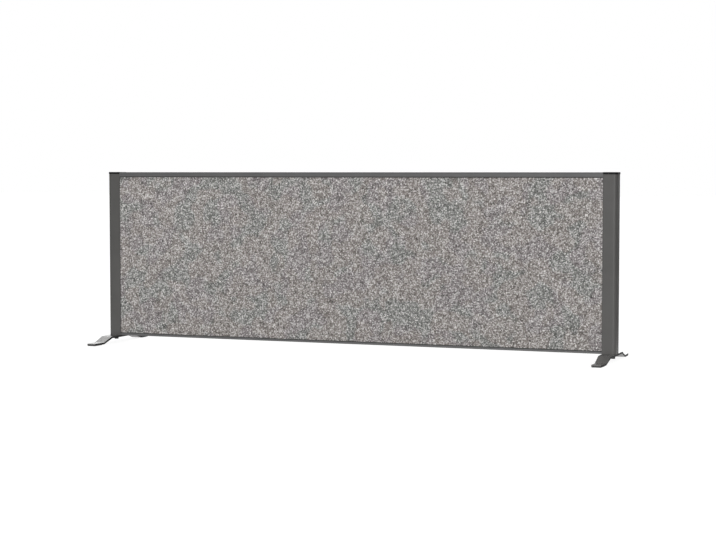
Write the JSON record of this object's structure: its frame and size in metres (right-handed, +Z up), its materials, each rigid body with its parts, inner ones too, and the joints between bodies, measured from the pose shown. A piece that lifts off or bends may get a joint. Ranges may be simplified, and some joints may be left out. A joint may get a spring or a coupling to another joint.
{
  "type": "acoustic divider screen",
  "caption": "Low acoustic divider screen for a desk: felt panel in a slim metal frame with full-height posts, black end caps and flat bent feet.",
  "frame": {"origin": "middle of the footprint, on the surface that the glide pads stand on", "axes": "+X along the screen to its right end as seen from the front, +Y through the screen away from the front felt board, +Z up"},
  "size_m": [1.602, 0.336, 0.527],
  "materials": {
    "post_coat": "anthracite powder coat on extruded aluminium, satin",
    "rail_coat": "anthracite powder coat on extruded aluminium, satin",
    "cap_plastic": "black moulded plastic, fine texture",
    "seal_rubber": "charcoal extruded rubber",
    "grey_felt": "melange grey pressed felt",
    "absorber_wadding": "off-white pressed wadding",
    "core_fibreboard": "brown hard fibreboard",
    "bracket_zinc": "zinc-plated steel",
    "screw_zinc": "zinc-plated steel",
    "foot_coat": "anthracite powder coat on steel plate, satin",
    "bolt_steel": "black oxide steel",
    "pad_rubber": "black rubber"
  },
  "bodies": {
    "root": {"left_post": "post_coat", "right_post": "post_coat", "left_post_cap": "cap_plastic", "right_post_cap": "cap_plastic", "top_rail": "rail_coat", "bottom_rail": "rail_coat", "top_seal": "seal_rubber", "bottom_seal": "seal_rubber", "front_felt": "grey_felt", "rear_felt": "grey_felt", "front_absorber": "absorber_wadding", "rear_absorber": "absorber_wadding", "core_board": "core_fibreboard", "top_left_bracket": "bracket_zinc", "top_right_bracket": "bracket_zinc", "bottom_left_bracket": "bracket_zinc", "bottom_right_bracket": "bracket_zinc", "top_left_screws": "screw_zinc", "top_right_screws": "screw_zinc", "bottom_left_screws": "screw_zinc", "bottom_right_screws": "screw_zinc", "left_foot": "foot_coat", "right_foot": "foot_coat", "left_foot_bolt": "bolt_steel", "right_foot_bolt": "bolt_steel", "left_front_pad": "pad_rubber", "left_rear_pad": "pad_rubber", "right_front_pad": "pad_rubber", "right_rear_pad": "pad_rubber"}
  },
  "joints": []
}
